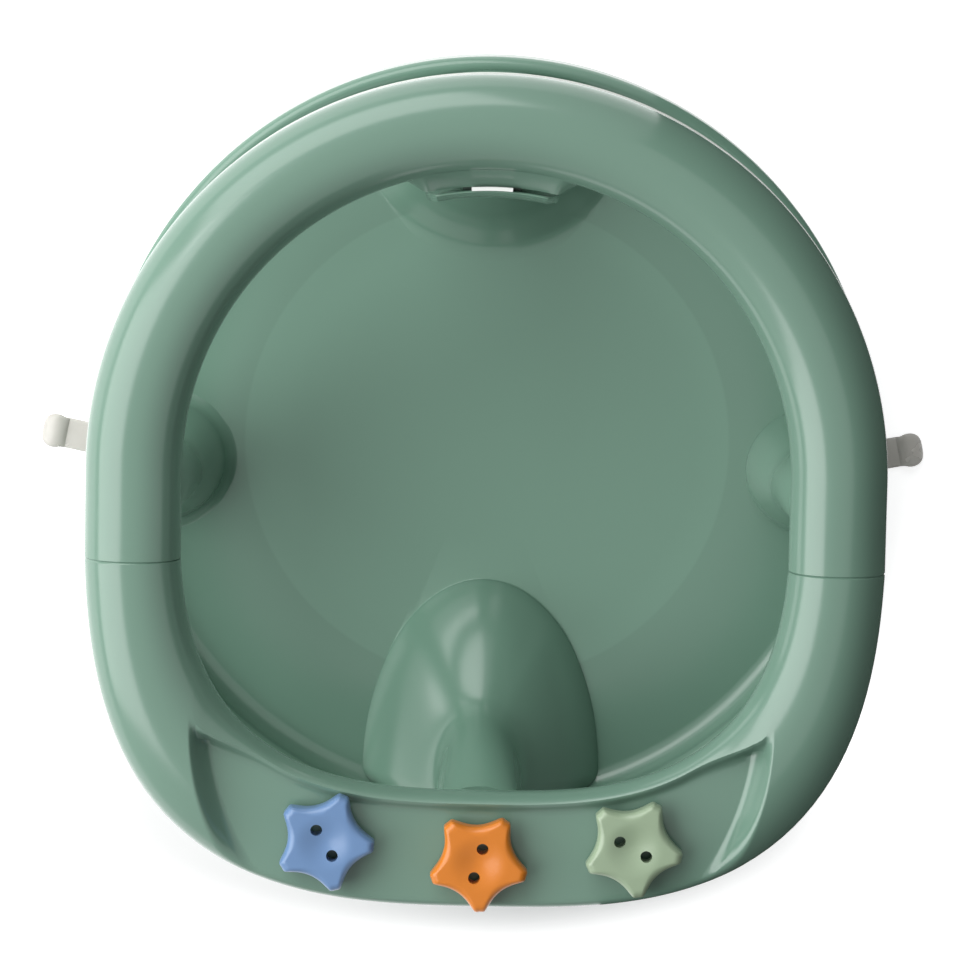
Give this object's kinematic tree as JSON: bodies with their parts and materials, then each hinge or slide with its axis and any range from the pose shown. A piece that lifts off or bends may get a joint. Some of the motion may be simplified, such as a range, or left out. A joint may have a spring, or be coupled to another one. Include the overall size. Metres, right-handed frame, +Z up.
{
  "type": "baby bath seat",
  "caption": "Round seat base on suction cups, hollow posts, a C-shaped arm ring and a front bar with spinning star buttons",
  "frame": {"origin": "middle of the seat's whole outline seen from above, on the floor of the bath that the suction cups stand on", "axes": "+Z up, -Y to the front bar with the stars, +X to the right as seen from above with the bar at the bottom"},
  "size_m": [0.3979, 0.3579, 0.1684],
  "materials": {
    "base": "satin",
    "ring": "gloss",
    "catch": "gloss",
    "star_blue": "satin",
    "star_orange": "satin",
    "star_green": "satin",
    "washer": "moulded",
    "screw": "bright",
    "cup": "clear soft vinyl"
  },
  "bodies": {
    "seat": {"seat_base": "base", "ring_back": "ring", "front_bar": "ring", "back_catch": "catch", "post_screws": "screw", "cup_front": "cup", "cup_back": "cup", "cup_left": "cup", "cup_right": "cup"},
    "blue_spinner": {"star_blue": "star_blue", "star_washer_left": "washer", "star_screw_left": "screw"},
    "orange_spinner": {"star_orange": "star_orange", "star_washer_middle": "washer", "star_screw_middle": "screw"},
    "green_spinner": {"star_green": "star_green", "star_washer_right": "washer", "star_screw_right": "screw"}
  },
  "joints": [
    {"name": "blue_spin", "type": "hinge", "parent": "seat", "child": "blue_spinner", "pos_m": [-0.0655, -0.1495, 0.156], "axis": [0, 0, 1], "continuous": true},
    {"name": "orange_spin", "type": "hinge", "parent": "seat", "child": "orange_spinner", "pos_m": [0, -0.157, 0.156], "axis": [0, 0, 1], "continuous": true},
    {"name": "green_spin", "type": "hinge", "parent": "seat", "child": "green_spinner", "pos_m": [0.0655, -0.1495, 0.156], "axis": [0, 0, 1], "continuous": true}
  ]
}
